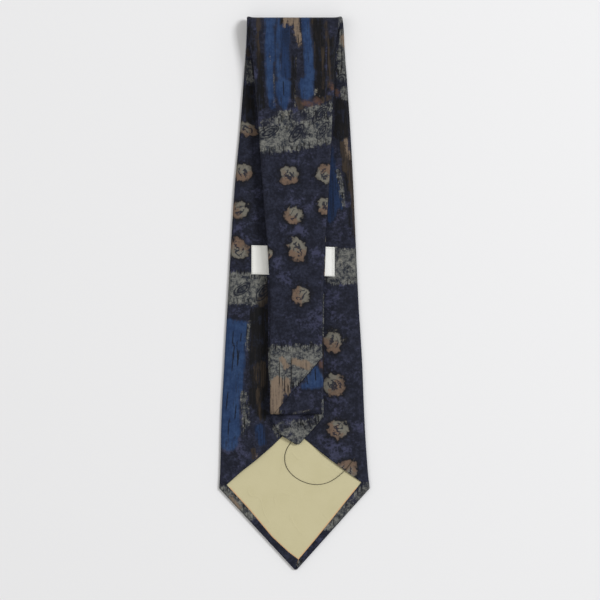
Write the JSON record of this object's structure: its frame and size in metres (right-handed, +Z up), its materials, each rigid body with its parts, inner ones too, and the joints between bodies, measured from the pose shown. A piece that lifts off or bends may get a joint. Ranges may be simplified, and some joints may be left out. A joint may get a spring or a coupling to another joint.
{
  "type": "necktie",
  "caption": "Printed silk necktie folded into a flat packet, back of the blade upwards, with its tail threaded through a fabric keeper, a lined point and a front that opens at the top fold.",
  "frame": {"origin": "middle of the folded tie's outline, on the surface it lies on", "axes": "+Z up from the table, +Y along the tie from the blade's point to the top fold, +X across the tie to its right when seen from above with the point towards the viewer"},
  "size_m": [0.102, 0.375, 0.012],
  "materials": {
    "printed_silk": "satin",
    "interlining": "matte",
    "tipping": "matte",
    "keeper_ribbon": "satin",
    "white_thread": "matte",
    "dark_thread": "matte"
  },
  "bodies": {
    "blade": {"blade_shell": "printed_silk", "blade_interlining": "interlining", "blade_tipping": "tipping", "blade_slip_stitch": "dark_thread", "blade_bar_tack": "dark_thread", "loose_thread": "dark_thread", "keeper_loop": "keeper_ribbon", "keeper_stitching": "white_thread", "top_fold_shell": "printed_silk", "top_fold_interlining": "interlining", "inner_fold_shell": "printed_silk", "inner_fold_interlining": "interlining"},
    "front": {"blade_shell_front": "printed_silk", "neck_shell": "printed_silk", "neck_interlining": "interlining", "neck_seam_stitching": "dark_thread", "neck_slip_stitch": "dark_thread"},
    "tail": {"tail_shell": "printed_silk", "tail_interlining": "interlining", "tail_tipping": "tipping", "tail_slip_stitch": "dark_thread", "tail_bar_tack": "dark_thread"}
  },
  "joints": [
    {"name": "top_fold", "type": "hinge", "parent": "blade", "child": "front", "pos_m": [0, 0.1815, 0.006], "axis": [-1, 0, 0], "range_deg": [0, 179.9], "deforming": ["top_fold_shell", "top_fold_interlining", "inner_fold_shell", "inner_fold_interlining"]},
    {"name": "tail_slide", "type": "slide", "parent": "blade", "child": "tail", "axis": [0, -1, 0], "range_m": [0, 0.06]}
  ]
}
